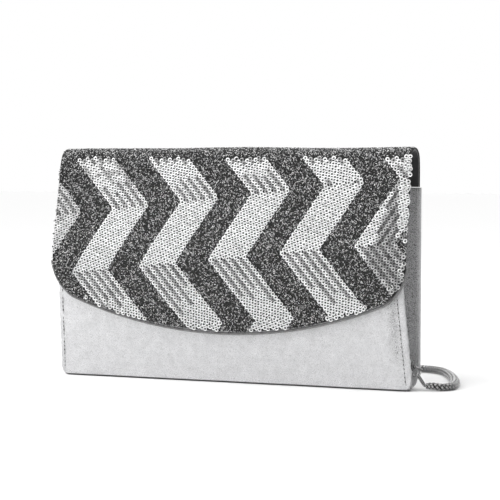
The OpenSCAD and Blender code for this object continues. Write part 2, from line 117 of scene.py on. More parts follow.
FLOOR_SIDE, FLOOR_NEAR, FLOOR_FAR = 6, -6, 9
floor_mesh = bpy.data.meshes.new("floor")
floor_mesh.from_pydata([(-FLOOR_SIDE, FLOOR_NEAR, 0), (FLOOR_SIDE, FLOOR_NEAR, 0),
                        (FLOOR_SIDE, FLOOR_FAR, 0), (-FLOOR_SIDE, FLOOR_FAR, 0)], [],
                       [(0, 1, 2, 3)])
floor = bpy.data.objects.new("floor", floor_mesh)
bpy.context.scene.collection.objects.link(floor)


def finish_of(name, colour, roughness, metallic=0.0, **others):
    """A material with one Principled shader. Returns the material, its nodes and the shader."""
    mat = bpy.data.materials.new(name)
    mat.use_nodes = True
    shader = mat.node_tree.nodes["Principled BSDF"]
    shader.inputs["Base Color"].default_value = (*colour, 1) if len(colour) == 3 else colour
    shader.inputs["Roughness"].default_value = roughness
    shader.inputs["Metallic"].default_value = metallic
    for socket, value in others.items():
        shader.inputs[socket.replace("_", " ")].default_value = value
    return mat, mat.node_tree, shader


floor.data.materials.append(
    finish_of("floor_white", (0.97, 0.97, 0.97), 0.9, Specular_IOR_Level=0.0)[0])

# ---- Chain strap: one long braid, and a short one inside each side pleat ----
# A round braid of eight steel strands, four each way and two wires to a strand, plated antique
# silver. It is made by the metre on a braiding machine, and its ends are drawn in to the rings.
# The near black deep between its wires is painted shade.
CHAIN_D = 5
RIGHT_END = [128.7, 6.5, 2.8]
RIGHT_CAP = [132.8, 6.5, 2.9]
RIGHT_RUN = [[134.8, 6.5, 2.8], [137.6, 7.4, 2.6], [139.9, 9.4, 2.5], [142, 12.6, 2.5],
             [142.8, 16.5, 2.5], [142.2, 25, 2.5], [140.4, 35, 2.5], [137.6, 46, 2.5],
             [134, 57, 2.5], [130, 67, 2.5], [125.5, 77, 2.5], [120, 84.5, 2.5],
             [112.5, 89.5, 2.5], [103, 91, 2.5], [91, 91, 2.5], [79, 91, 2.5], [67, 91, 2.5],
             [55, 91, 2.5]]
LEFT_END = [-126.6, 12.7, 2.8]
LEFT_CAP = [-129.2, 15.8, 2.9]
LEFT_RUN = [[-130.6, 19.2, 2.6], [-131.8, 24, 2.5], [-131.8, 31, 2.5], [-130, 39, 2.5],
            [-125, 49, 2.5], [-117, 59, 2.5], [-107, 68, 2.5], [-95, 76, 2.5],
            [-81, 82.5, 2.5], [-66, 87, 2.5], [-50, 90, 2.5], [-35, 91, 2.5], [-21, 91, 2.5],
            [-8, 91, 2.8], [5, 91, 4.6], [18, 91, 6.8], [31, 91, 7.5]]
COIL_CENTRE = (45, 58)
COIL_OUTER = 33
COIL_LOW, COIL_HIGH = 2.5, 7.5
TURNS = 3
PLEAT_RUN = [[107.5, 4.5, 92], [107.4, 4.5, 86], [107.7, 4.4, 80], [108.2, 4.3, 74],
             [108.8, 4.3, 68], [109.4, 4.3, 62], [110, 4.3, 56], [110.6, 4.4, 50],
             [111.3, 4.5, 44], [112.1, 4.5, 38]]
UPPER_FOOT = [107.5, 4.5, 97.4]
RIGHT_FOOT = [[113, 4.8, 32], [114.1, 5.4, 27], [115.4, 6, 22.6], [117.5, 6.5, 17.8],
              [120.6, 6.5, 13.4]]
LEFT_FOOT = [[113.1, 4, 32], [114.6, 3.2, 27], [116.8, 3.1, 22.3], [119.4, 4.1, 17.8],
             [121.6, 6.6, 13.4]]


def curve_through(points, step):
    """Catmull-Rom curve through the points, sampled again at even steps of its own length."""
    p = np.asarray(points, float)
    q = np.vstack([2 * p[0] - p[1], p, 2 * p[-1] - p[-2]])
    t = np.linspace(0, 1, 20, endpoint=False)[None, :, None]
    a, b, c, d = (q[i:len(p) - 1 + i, None, :] for i in range(4))
    fine = 0.5 * (2 * b + (c - a) * t + (2 * a - 5 * b + 4 * c - d) * t ** 2
                  + (3 * b - a - 3 * c + d) * t ** 3)
    fine = np.vstack([fine.reshape(-1, p.shape[1]), p[-1:]])
    far = np.concatenate([[0], np.cumsum(np.linalg.norm(np.diff(fine, axis=0), axis=1))])
    at = np.linspace(0, far[-1], max(2, int(round(far[-1] / step)) + 1))
    return np.stack([np.interp(at, far, fine[:, i]) for i in range(fine.shape[1])], axis=1)


def put(name, points, faces, smooth=True):
    """A mesh object at the origin from points in millimetres and faces of four corners each."""
    mesh = bpy.data.meshes.new(name)
    mesh.from_pydata(np.asarray(points, float) * MM, [], np.asarray(faces).tolist())
    mesh.polygons.foreach_set("use_smooth", np.full(len(mesh.polygons), smooth))
    mesh.update()
    obj = bpy.data.objects.new(name, mesh)
    bpy.context.scene.collection.objects.link(obj)
    return obj


def mark(obj, name, values):
    """A number for each vertex, which the piece's material reads by name."""
    layer = obj.data.attributes.new(name, "FLOAT", "POINT")
    layer.data.foreach_set("value", np.asarray(values, np.float32).ravel())


def tube_faces(rings, sides, first=0):
    """Quads of a tube of that many rings, each of that many sides, with both ends open."""
    i, j = np.meshgrid(np.arange(rings - 1), np.arange(sides), indexing="ij")
    k = (j + 1) % sides
    return (np.stack([i * sides + j, i * sides + k, (i + 1) * sides + k, (i + 1) * sides + j], -1)
            .reshape(-1, 4) + first)


# Half-width and height of a strand's section, over its two wires and back underneath
STRAND = np.array([[-.76, 0], [-.4, .46], [0, .04], [.4, .46], [.76, 0], [0, -.3]])


def braid(name, route, up, drawn_in, spread=0.0):
    """Eight strands that wind round the route at radius R, four each way, a turn every PITCH;
    each strand's radius is R + a cos(4 angle) one way and R - a cos(4 angle) the other, so every
    strand passes over one and under the next. The ends in drawn_in narrow over their last 4 mm.
    Spread is the share by which the braid is wider than it would lie round, whole or by point."""
    radius, wave, pitch = 1.62, 0.5, 9.4
    along = np.gradient(route, axis=0)
    along /= np.linalg.norm(along, axis=1, keepdims=True)
    side = np.cross(along, up)
    side /= np.linalg.norm(side, axis=1, keepdims=True)
    top = np.cross(side, along)
    gone = np.concatenate([[0], np.cumsum(np.linalg.norm(np.diff(route, axis=0), axis=1))])
    turn = 2 * np.pi * gone / pitch
    ends = [gone if end == 0 else gone[-1] - gone for end in drawn_in]
    size = np.ones((len(route), 1))
    for end in ends:
        size *= 0.75 + 0.25 * np.clip(end[:, None] / 4, 0, 1) ** 0.7
    points, faces, hollow = [], [], []
    wide = np.broadcast_to(spread, len(route))[:, None]
    for way in (-1, 1):
        for start in np.arange(4) * np.pi / 2:
            angle = (way * turn + start)[:, None]
            out = np.cos(angle) * side * (1 + wide) + np.sin(angle) * top * (1 - 0.3 * wide)
            across = (np.cos(angle) * top - np.sin(angle) * side - way * along) / np.sqrt(2)
            middle = route + (radius + way * wave * np.cos(4 * turn))[:, None] * size * out
            ring = (middle[:, None] + STRAND[None, :, :1] * (size * across)[:, None]
                    + STRAND[None, :, 1:] * (size * out)[:, None])
            faces.append(tube_faces(len(route), len(STRAND), sum(map(len, points))))
            points.append(ring.reshape(-1, 3))
            # How deep each point lies in the braid: its material paints the deep places as shade,
            # near black in the gaps.
            height = radius + way * wave * np.cos(4 * turn)[:, None] + STRAND[None, :, 1]
            hollow.append(np.clip((2.5 - height.ravel()) / 0.6, 0, 1))
    obj = put(name, np.vstack(points), np.vstack(faces))
    mark(obj, "hollow", np.concatenate(hollow))
    return obj


turn_at = np.linspace(0, TURNS, 16 * TURNS + 1)
coil_r = np.where(turn_at < 2, COIL_OUTER - CHAIN_D * turn_at,
                  COIL_OUTER - 2 * CHAIN_D + 2 * CHAIN_D * (turn_at - 2))
coil_z = np.interp(turn_at, [0, 1.85, 2.15, TURNS], [COIL_LOW, COIL_LOW, COIL_HIGH, COIL_HIGH])
coil_angle = np.pi / 2 + 2 * np.pi * turn_at
coil = np.stack([COIL_CENTRE[0] + coil_r * np.cos(coil_angle),
                 COIL_CENTRE[1] + coil_r * np.sin(coil_angle), coil_z], axis=1)

STRAP_STEP, ANCHOR_STEP = 0.3, 0.4
NEAR_RINGS = 400
LOOP_SPREAD, SPREAD_FROM, SPREAD_OVER = 0.3, 131, 8
strap_route = curve_through([RIGHT_END, RIGHT_CAP, *RIGHT_RUN, *coil, *LEFT_RUN[::-1], LEFT_CAP,
                             LEFT_END], STRAP_STEP)
# Past the loop beside the bag every second ring will do
strap_route = np.vstack([strap_route[:NEAR_RINGS], strap_route[NEAR_RINGS:-1:2],
                         strap_route[-1:]])
strap = braid("strap_braid", strap_route, np.array([0, 0, 1.0]), (0, 1),
              LOOP_SPREAD * np.clip((strap_route[:, 0] - SPREAD_FROM) / SPREAD_OVER, 0, 1))


def mirrored(points, way):
    """The points for the right side, or with way -1 for the left."""
    return [[way * x, y, z] for x, y, z in points]


# The braid's colour is painted shade by depth: bright silver on the wires' crests, near black deep
# in the gaps between them.
steel, steel_tree, steel_shader = finish_of("silver_braid_painted_gap_shade", (0.5, 0.5, 0.5), 0.27, 0.8)
hollow_shade, shade = nodes_of(steel_tree, "Attribute", "ValToRGB")
hollow_shade.attribute_name = "hollow"
shade.color_ramp.elements[0].color = (0.82, 0.82, 0.82, 1)
shade.color_ramp.elements[1].color = (0.025, 0.025, 0.025, 1)
shade.color_ramp.elements[0].position = 0.12
shade.color_ramp.elements[1].position = 0.75
steel_tree.links.new(hollow_shade.outputs["Fac"], shade.inputs["Fac"])
steel_tree.links.new(shade.outputs["Color"], steel_shader.inputs["Base Color"])

strap.data.materials.append(steel)
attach(strap, "pouch")
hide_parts("chain_right_run", "chain_coil", "chain_left_run", "right_strap_cap",
            "left_strap_cap")

for side, way, foot in (("right", 1, RIGHT_FOOT), ("left", -1, LEFT_FOOT)):
    route = curve_through(mirrored([UPPER_FOOT, *PLEAT_RUN, *foot], way), ANCHOR_STEP)
    anchor = braid(side + "_anchor_braid", route, np.array([0, 1.0, 0]), ())
    anchor.data.materials.append(steel)
    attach(anchor, "pouch")
    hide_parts(side + "_anchor_chain", side + "_lower_cap")


# ---- Strap fittings: rings, links and crimped cups at both ends ----
# Drawn steel wire bent and butted into D-rings, jump rings, mouth rings and long links, and
# turned cups crimped over the upper ends. They are plated like the braid, with a soft random
# mottle.


def grain_group(name, cell, rough):
    """A node group: pebbled grain of that many cells a metre, with a finer roughness in it.
    It gives Height, for a bump, Tone, a soft mottling from 0 to 1, and Pits, between cells."""
    group = bpy.data.node_groups.new(name, "ShaderNodeTree")
    for label in ("Height", "Tone", "Pits"):
        group.interface.new_socket(label, in_out="OUTPUT", socket_type="NodeSocketFloat")
    group.interface.new_socket("Size", in_out="INPUT", socket_type="NodeSocketFloat")
    start, end = group.nodes.new("NodeGroupInput"), group.nodes.new("NodeGroupOutput")
    place, cells, fine, broad, pits, mix, total = nodes_of(
        group, "TexCoord", "TexVoronoi", "TexNoise", "TexNoise", "MapRange", "Math", "Math")
    cells.feature = "DISTANCE_TO_EDGE"
    cells.inputs["Scale"].default_value = cell
    cells.inputs["Randomness"].default_value = 1.0
    fine.inputs["Scale"].default_value = cell * 2.7
    fine.inputs["Detail"].default_value = 3
    broad.inputs["Scale"].default_value = cell * 0.11
    broad.inputs["Detail"].default_value = 4
    broad.inputs["Roughness"].default_value = 0.7
    pits.inputs["From Min"].default_value, pits.inputs["From Max"].default_value = 0.0, 0.16
    pits.inputs["To Min"].default_value, pits.inputs["To Max"].default_value = 1.0, 0.0
    mix.operation = "MULTIPLY"
    mix.inputs[1].default_value = rough
    total.operation = "SUBTRACT"
    move = nodes_of(group, "VectorMath")[0]
    move.operation = "SCALE"
    link = group.links.new
    link(place.outputs["Object"], move.inputs[0])
    link(start.outputs["Size"], move.inputs["Scale"])
    for texture in (cells, fine, broad):
        link(move.outputs["Vector"], texture.inputs["Vector"])
    link(cells.outputs["Distance"], pits.inputs["Value"])
    link(fine.outputs["Fac"], mix.inputs[0])
    link(mix.outputs[0], total.inputs[0])
    link(pits.outputs["Result"], total.inputs[1])
    link(total.outputs[0], end.inputs["Height"])
    link(broad.outputs["Fac"], end.inputs["Tone"])
    link(pits.outputs["Result"], end.inputs["Pits"])
    return group


def grained(name, group, size, dark, light, roughness, metallic, bump, depth, pit=0.0, **others):
    """A material whose colour runs from dark to light over the group's Tone and whose bump
    follows its Height; pit is how far the hollows between the cells are darkened. Where a piece
    has the attribute "shade" the colour is darkened by that share, as painted shade; a second
    attribute darkens the Pits by its share, as painted shade in the grain's hollows."""
    mat, tree, shader = finish_of(name, light, roughness, metallic, **others)
    grain, mottled, hollow, relief = nodes_of(tree, "Group", "Mix", "Mix", "Bump")
    grain.node_tree = group
    grain.inputs["Size"].default_value = size
    for mix, colours in ((mottled, (dark, light)), (hollow, (light, dark))):
        mix.data_type = "RGBA"
        for socket, colour in zip((6, 7), colours):
            mix.inputs[socket].default_value = (*colour, 1)
    hollow.inputs[7].default_value = (*[c * (1 - pit) for c in dark], 1)
    relief.inputs["Strength"].default_value = bump
    relief.inputs["Distance"].default_value = depth * MM
    spread = nodes_of(tree, "MapRange")[0]
    spread.inputs["From Min"].default_value, spread.inputs["From Max"].default_value = 0.3, 0.7
    tree.links.new(grain.outputs["Tone"], spread.inputs["Value"])
    tree.links.new(spread.outputs["Result"], mottled.inputs[0])
    tree.links.new(mottled.outputs[2], hollow.inputs[6])
    if pit > 0:
        tree.links.new(grain.outputs["Pits"], hollow.inputs[0])
    else:
        hollow.inputs[0].default_value = 0
    # Painted shade: the share from "shade", and the Pits by the share from the second attribute,
    # darken the colour towards black.
    shade, hollow_shade, both, darker = nodes_of(tree, "Attribute", "Attribute", "Math", "Mix")
    shade.attribute_name, hollow_shade.attribute_name = "shade", "hollow_shade"
    both.operation, both.use_clamp = "MULTIPLY_ADD", True
    tree.links.new(grain.outputs["Pits"], both.inputs[0])
    tree.links.new(hollow_shade.outputs["Fac"], both.inputs[1])
    tree.links.new(shade.outputs["Fac"], both.inputs[2])
    darker.data_type = "RGBA"
    darker.inputs[7].default_value = (0.01, 0.01, 0.01, 1)
    tree.links.new(both.outputs[0], darker.inputs[0])
    tree.links.new(hollow.outputs[2], darker.inputs[6])
    tree.links.new(darker.outputs[2], shader.inputs["Base Color"])
    tree.links.new(grain.outputs["Height"], relief.inputs["Height"])
    tree.links.new(relief.outputs["Normal"], shader.inputs["Normal"])
    return mat


pebble = grain_group("pebble_grain", 1.0, 0.35)
plate = grained("rubbed_silver_plate", pebble, 1400, (0.22, 0.22, 0.22), (0.72, 0.72, 0.72),
                0.26, 1.0, 0.15, 0.05)


def dress(names, material):
    """Gives CAD nodes that keep their own shape a finish."""
    for name in names:
        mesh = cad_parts[name].data
        mesh.materials.clear()
        mesh.materials.append(material)


SIDES = ("right_", "left_")
dress([side + part for side in SIDES
       for part in ("d_ring", "jump_ring", "upper_cap", "mouth_ring", "oval_link")], plate)

# ---- Pouch: the front, and the back with the base in one piece ----
# Silver leatherette wrapped round stiff board and turned over at every edge. The front leans
# out to its fullest point half way up; the base folds up into the back round a soft corner.
FRONT_KNOTS = [[-3, 0], [-6.6, 20], [-10.3, 40], [-13.7, 60], [-15.2, 74], [-15, 86],
               [-12.6, 98], [-8.6, 112], [-5.4, 127.5]]
POUCH_HALF = 122.5
SIDE_TAPER = 0.058
CORNER_R = 6
MOUTH_Z = 127.5
BACK_Y = 17.4
FOLD_R = 10
SKIN_AND_BOARD = 1.85
front_curve = curve_through(FRONT_KNOTS, 0.5)


def front_y(z):
    """How far back the front's outer face is at each height, along its side profile."""
    return np.interp(z, front_curve[:, 1], front_curve[:, 0])


def waves(x, z, reach, size, seed):
    """Slow random waves of about that size: a sum of twelve sines of seeded heading and phase."""
    pick = np.random.default_rng(seed)
    total = np.zeros(np.broadcast(x, z).shape)
    for _ in range(12):
        heading, phase, scale = pick.uniform(0, 2 * np.pi, 2).tolist() + [pick.uniform(0.6, 1.8)]
        turn = (x * np.cos(heading) + z * np.sin(heading)) * 2 * np.pi * scale / size
        total = total + np.sin(turn + phase) / scale
    return reach * total / 4


def shell(name, outer, thick, steps=4):
    """A closed sheet over the grid outer, whose face is where its second index crossed with its
    first points. A copy lies that thickness inward, and between the two borders, both pulled in
    by half the thickness, runs a half-round rim."""
    across = np.gradient(outer, axis=1)
    up = np.gradient(outer, axis=0)
    inward = -np.cross(across, up)
    inward /= np.linalg.norm(inward, axis=2, keepdims=True)
    rows, cols = outer.shape[:2]
    ids = np.arange(rows * cols).reshape(rows, cols)
    border = np.concatenate([ids[0, :], ids[1:, -1], ids[-1, -2::-1], ids[-2:0:-1, 0]])
    edge, into = outer.reshape(-1, 3)[border], inward.reshape(-1, 3)[border]
    along = np.roll(edge, -1, axis=0) - np.roll(edge, 1, axis=0)
    out = np.cross(into, along)
    out /= np.linalg.norm(out, axis=1, keepdims=True)
    r = thick / 2
    edge = edge - r * out
    front = outer.reshape(-1, 3).copy()
    front[border] = edge
    back = outer.reshape(-1, 3) + thick * inward.reshape(-1, 3)
    back[border] = edge + thick * into
    bends = np.pi * np.arange(1, steps) / steps
    rim = [edge + r * (1 - np.cos(b)) * into + r * np.sin(b) * out for b in bends]
    quads = np.stack([ids[:-1, :-1], ids[:-1, 1:], ids[1:, 1:], ids[1:, :-1]], -1).reshape(-1, 4)
    n, m = rows * cols, len(border)
    rings = [border] + [2 * n + k * m + np.arange(m) for k in range(steps - 1)] + [n + border]
    sides = [np.stack([a, b, np.roll(b, -1), np.roll(a, -1)], -1)
             for a, b in zip(rings[:-1], rings[1:])]
    return put(name, np.vstack([front, back, *rim]),
               np.vstack([quads, quads[:, ::-1] + n, *sides]))


def columns(half, spacing):
    """Places from -1 to 1, evenly spaced across twice that half-width."""
    return np.linspace(-1, 1, int(2 * half / spacing) + 1)


TURN_R = 1.3


def front_grid():
    """The front's outline, which narrows upwards from round lower corners, laid on its side
    profile: x is a share of the half-width at that height and z runs from the lower edge up.
    The lowest rows turn under on a quarter circle of radius TURN_R."""
    u = columns(POUCH_HALF, 2.0)[None, :]
    past = np.clip(np.abs(u) * POUCH_HALF - (POUCH_HALF - CORNER_R), 0, CORNER_R)
    low = 0.15 + CORNER_R - np.sqrt(CORNER_R ** 2 - past ** 2)
    bend = np.radians(np.linspace(84, 0, 8))[:, None]
    rise = np.linspace(0, 1, 60)[1:, None]
    z = np.vstack([low + TURN_R * (1 - np.sin(bend)),
                   low + TURN_R + rise * (MOUTH_Z - low - TURN_R)])
    under = np.vstack([TURN_R * (1 - np.cos(bend)), 0 * rise])
    x = u * (POUCH_HALF - SIDE_TAPER * z)
    return np.stack([x, front_y(z) + front_relief(x, z) + under, z], axis=2)


def front_relief(x, z):
    """Shallow puckers: slow waves all over, a slight pull-in along both sides, and the foot
    pushed out a little by the fold of the base behind it."""
    inside = POUCH_HALF - SIDE_TAPER * z - np.abs(x)
    edge = np.exp(-(inside / 5) ** 2)
    return (waves(x, z, 0.16, 60, 3) + 0.25 * edge * (1 + np.sin(z * 0.9 + np.sign(x)))
            - 0.7 * np.exp(-(z / 5) ** 2))


DRAWN_IN, DRAWN_BELOW = 2.2, 11.5
FOOT_ROUND, ROUND_BELOW = 2, 3


def back_half(z):
    """Half-width of the back: drawn in below the fold, and round at the very foot."""
    drawn = DRAWN_IN * np.sqrt(np.clip(1 - z / DRAWN_BELOW, 0, 1))
    return POUCH_HALF - drawn - FOOT_ROUND * np.clip(1 - z / ROUND_BELOW, 0, 1) ** 2


def back_grid():
    """The base from its front edge, round the fold, and up the back to the mouth. Each side runs
    in by the base's narrower half-width and out again on a quarter circle round the fold."""
    bend = np.linspace(-np.pi / 2, 0, 12)[1:-1]
    fold = np.stack([BACK_Y - FOLD_R + FOLD_R * np.cos(bend), FOLD_R + FOLD_R * np.sin(bend)], 1)
    base = np.stack([np.linspace(-2.6, BACK_Y - FOLD_R, 6), np.zeros(6)], 1)
    rise = np.linspace(FOLD_R, MOUTH_Z, 56)
    wall = np.stack([np.full(56, BACK_Y), rise], 1)
    path = np.vstack([base, fold, wall])
    u = columns(POUCH_HALF, 2.4)[None, ::-1]
    z = path[:, 1:2]
    x = u * back_half(z)
    y = path[:, :1] - waves(x, z, 0.12, 70, 5) * np.clip((z - 10) / 10, 0, 1) * (z < 120)
    return np.stack([x, y, z + 0 * x], axis=2)


leatherette = grained("silver_leatherette", pebble, 1500, (0.63, 0.63, 0.64), (0.8, 0.8, 0.81),
                      0.42, 0.4, 0.6, 0.16, pit=0.3, Specular_IOR_Level=0.6)

front_skin = shell("front_skin", front_grid(), SKIN_AND_BOARD)
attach(front_skin, "front_panel")
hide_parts("front_panel", "front_top_binding")
back_skin = shell("back_and_base_skin", back_grid(), SKIN_AND_BOARD)
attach(back_skin, "pouch")
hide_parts("back_panel", "bottom_panel")


def points_of(obj):
    """Its points, in millimetres."""
    return np.array([v.co for v in obj.data.vertices]) / MM


# Painted shade on the turned-under foot, deepest at the bottom, and in the grain's pits along the
# creased strip beside the right seam
FOOT_DARK, FOOT_TOP, FOOT_FADE = 0.9, 1.4, 0.5
CREASED, CREASE_IN, CREASE_W = 0.75, 8, 3.5
for skin in (front_skin, back_skin):
    skin.data.materials.append(leatherette)
    place = points_of(skin)
    foot = np.clip((FOOT_TOP - place[:, 2]) / FOOT_FADE, 0, 1) * (place[:, 1] < 2)
    inside = POUCH_HALF - SIDE_TAPER * place[:, 2] - place[:, 0]
    mark(skin, "shade", FOOT_DARK * foot)
    mark(skin, "hollow_shade", CREASED * np.exp(-((inside - CREASE_IN) / CREASE_W) ** 2)
         * np.clip((place[:, 2] - 12) / 14, 0, 1) * (place[:, 1] < 0))

# ---- Side pleats ----
# One strip of the same leatherette each side, folded inwards down its middle. Its rear edge is
# stitched to the back and its front edge to the front, and it opens as the front leans away.
CREASE_Y = 5
PLEAT_BASE, PLEAT_TOP = 12, 24
PLEAT_FOOT = 1.5
GUSSET_LOW = 1.6
GUSSET_T = 0.8
PLEAT_SHADE = 0.3


def gusset_grid(way):
    """Level slices through the strip, each a smooth curve from the flange on the back, in to the
    crease and out to the front; the crease lies deeper towards the mouth."""
    slices = []
    for z in np.linspace(GUSSET_LOW, MOUTH_Z - 0.6, 40):
        opened = np.clip((z - 1) / 12, 0, 1)
        full = PLEAT_BASE + (PLEAT_TOP - PLEAT_BASE) * (z - 4) / (MOUTH_Z - 4)
        depth = PLEAT_FOOT + opened * opened * (3 - 2 * opened) * (full - PLEAT_FOOT)
        rear = BACK_Y - 2.45
        if z < FOLD_R:
            rear = BACK_Y - FOLD_R + np.sqrt(max((FOLD_R - 2.45) ** 2 - (FOLD_R - z) ** 2, 0.04))
        front = front_y(z) + 2.4
        edge = POUCH_HALF - SIDE_TAPER * z - 0.9
        half = float(back_half(z)) - 0.7
        crease = half + 0.7 - depth
        sag = 0.5 * np.sin(z * 0.11 + way) + 0.3 * np.sin(z * 0.27)
        slices.append(curve_through([
            [half, rear, z], [half - 2.2 * opened, rear - 0.2, z],
            [half - 0.45 * depth, (0.55 * rear + 0.45 * CREASE_Y) - 0.5 + 0.3 * sag, z],
            [crease + 2 * opened, CREASE_Y + 1.2, z], [crease + 0.2 * sag * opened, CREASE_Y, z],
            [crease + 2 * opened, CREASE_Y - 1.2, z],
            [0.5 * crease + 0.5 * edge, (0.5 * front + 0.5 * CREASE_Y) + 0.4 + 0.3 * sag, z],
            [edge - 1.6, front + 0.5, z], [edge, front, z]], 0.2))
    even = [s[np.linspace(0, len(s) - 1, 34).round().astype(int)] for s in slices]
    grid = np.array(even)
    if way < 0:
        grid = grid[:, ::-1] * np.array([-1, 1, 1])
    return grid


for side, way in (("right", 1), ("left", -1)):
    gusset = shell(side + "_side_pleat", gusset_grid(way), GUSSET_T, 3)
    gusset.data.materials.append(leatherette)
    place = points_of(gusset)
    width = back_half(place[:, 2]) - np.abs(place[:, 0])
    # Painted shade inside the pleat, left off the flange on the back and the foot, and painted
    # shade in the grain's pits, more where the pleat opens
    fold = np.clip((width - 1.8) / 0.8, 0, 1) * np.clip((place[:, 2] - 4) / 6, 0, 1)
    opened = np.clip((place[:, 2] - 5) / 9, 0, 1)
    mark(gusset, "shade", PLEAT_SHADE * np.where(place[:, 1] > 3, fold, opened))
    mark(gusset, "hollow_shade", 0.3 + 0.4 * opened)
    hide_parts(side + "_gusset_rear", side + "_gusset_front")
    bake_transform(gusset)
dress([side + "ring_tab" for side in SIDES], leatherette)

# ---- Stitching ----
# A line of silver thread down both sides and along the mouth of the front, down both sides of
# the back and each pleat's rear edge, 2.8 mm a stitch. Each stitch lies between two needle holes,
# near-black prisms that paint the shade in them.


def scatter(name, shape, faces, centres, axes, scale=1.0):
    """One mesh of many small copies of shape: point = centre + shape turned into its axes."""
    grown = np.reshape(scale, (-1, 1, 1))
    points = centres[:, None] + np.einsum("pk,nkj->npj", shape, axes) * grown
    every = (faces[None] + np.arange(len(centres))[:, None, None] * len(shape)).reshape(-1, 4)
    return put(name, points.reshape(-1, 3), every)


def prism(rings, sides):
    """A closed ring-by-ring tube of the rows (place along X, radius, rise), with square ends."""
    turn = np.arange(sides) * 2 * np.pi / sides + np.pi / 4
    points = np.array([[x, r * np.cos(a), h + r * np.sin(a)] for x, r, h in rings for a in turn])
    n = len(rings) * sides
    ends = np.array([[3, 2, 1, 0], [n - 4, n - 3, n - 2, n - 1]])
    return points, np.vstack([tube_faces(len(rings), sides)[:, ::-1], ends])


def facing(along, out):
    """Axes for scattered pieces: first along, third out, second across both."""
    along = along / np.linalg.norm(along, axis=1, keepdims=True)
    across = np.cross(out, along)
    across /= np.linalg.norm(across, axis=1, keepdims=True)
    return np.stack([along, across, np.cross(along, across)], axis=1)


STITCH = 2.8
thread_shape = prism([[-0.85, 0.12, -0.12], [-0.5, 0.26, 0.05], [0.5, 0.26, 0.05],
                      [0.85, 0.12, -0.12]], 4)
hole_shape = prism([[-0.55, 0.32, -0.05], [0.55, 0.32, -0.05]], 4)
thread_mat = grained("silver_thread", pebble, 4000, (0.3, 0.3, 0.3), (0.6, 0.6, 0.6), 0.5, 0.2,
                     0.4, 0.05)
# The needle holes are near black: painted shade.
hole_mat = grained("needle_hole_shade", pebble, 3000, (0.02, 0.02, 0.02), (0.06, 0.06, 0.06), 0.9, 0.0,
                   0.2, 0.05)


def sew(name, route, out, body):
    """Stitches and the holes between them along a route, lying on a face that looks out."""
    at = curve_through(route, STITCH)
    along = np.gradient(at, axis=0)
    axes = facing(along, np.broadcast_to(out, at.shape))
    shapes = {"_thread": (thread_shape, at, thread_mat),
              "_holes": (hole_shape, at + along / 2, hole_mat)}
    for part, (shape, centres, material) in shapes.items():
        piece = scatter(name + part, *shape, centres, axes)
        piece.data.materials.append(material)
        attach(piece, body)


SEAM_IN = {"right": 4.4, "left": 2.9}
BACK_SEAM_IN = 3
seam_z = np.linspace(5, MOUTH_Z - 2.5, 26)
for side, way in (("right", 1), ("left", -1)):
    x = way * (POUCH_HALF - SIDE_TAPER * seam_z - SEAM_IN[side])
    y = front_y(seam_z) + front_relief(x, seam_z) - 0.02
    sew(side + "_front_seam", np.stack([x, y, seam_z], 1), [0, -1.0, 0.02], "front_panel")
    x = np.full_like(seam_z, way * (POUCH_HALF - BACK_SEAM_IN))
    y = np.full_like(seam_z, BACK_Y)
    sew(side + "_back_seam", np.stack([x, y, seam_z], 1), [0, 1.0, 0], "pouch")
    flange = gusset_grid(way)[4:38, 3 if way > 0 else -4]
    sew(side + "_flange_seam", flange, [0.2 * way, -1.0, 0], "pouch")
mouth_x = np.linspace(-108, 108, 30)
mouth_z = np.full_like(mouth_x, MOUTH_Z - 3)
mouth_y = front_y(mouth_z) + front_relief(mouth_x, mouth_z) - 0.02
sew("front_mouth_seam", np.stack([mouth_x, mouth_y, mouth_z], 1), [0, -1.0, 0.2], "front_panel")

# ---- Lining, boards and the snap ----
# Dark satin cloth glued over grey-brown board inside the back, base, front and flap, with a flat
# slip pocket on the back. The magnetic snap is two plated steel cups with washers behind them.
satin = grained("dark_satin", pebble, 2600, (0.03, 0.03, 0.032), (0.055, 0.055, 0.058), 0.55, 0.0,
                0.5, 0.06, Sheen_Weight=0.3)
dress(["back_lining", "bottom_lining", "slip_pocket", "front_lining", "spine_lining",
       "flap_lining"], satin)
board = grained("grey_board", pebble, 900, (0.32, 0.27, 0.2), (0.5, 0.43, 0.33), 0.9, 0.0, 0.6, 0.1)
dress(["back_board", "base_board", "front_board", "flap_board"], board)
snap_metal = grained("snap_plate", pebble, 2200, (0.5, 0.5, 0.5), (0.68, 0.68, 0.69), 0.22, 1.0,
                     0.1, 0.03)
dress(["snap_socket", "snap_socket_washer", "snap_stud", "snap_stud_washer"], snap_metal)

# ---- Flap: its ground cloth and edge ----
# Dark pewter cloth over board, cut to a shallow curve with round corners, lined and corded round
# the edge. Above the fold the same cloth goes on, without board, as the soft top of the bag.
FLAP_KNOTS = [[-13.8, 34], [-16.5, 46], [-18.1, 60], [-18.7, 74], [-18.4, 86], [-16.2, 98],
              [-12.5, 112], [-9.4, 127], [-6.9, 140], [-3.2, 149.5], [3.5, 153], [11, 152.6],
              [17, 148.5], [18.7, 141], [18.7, 127.8]]
FOLD_Z = 140
FLAP_HALF = 121.5
EDGE_LOW, EDGE_R = 34, 278
CORNER_X = FLAP_HALF - 18
CORNER_RISE = 24
CLOTH_DEPTH = 0.6
flap_curve = curve_through(FLAP_KNOTS, 0.25)
flap_far = np.concatenate([[0], np.cumsum(np.linalg.norm(np.diff(flap_curve, axis=0), axis=1))])
slope = np.gradient(flap_curve, axis=0)
slope /= np.linalg.norm(slope, axis=1, keepdims=True)
fold_at = int(np.argmax(flap_curve[:, 1] >= FOLD_Z))
FOLD_S = flap_far[fold_at]


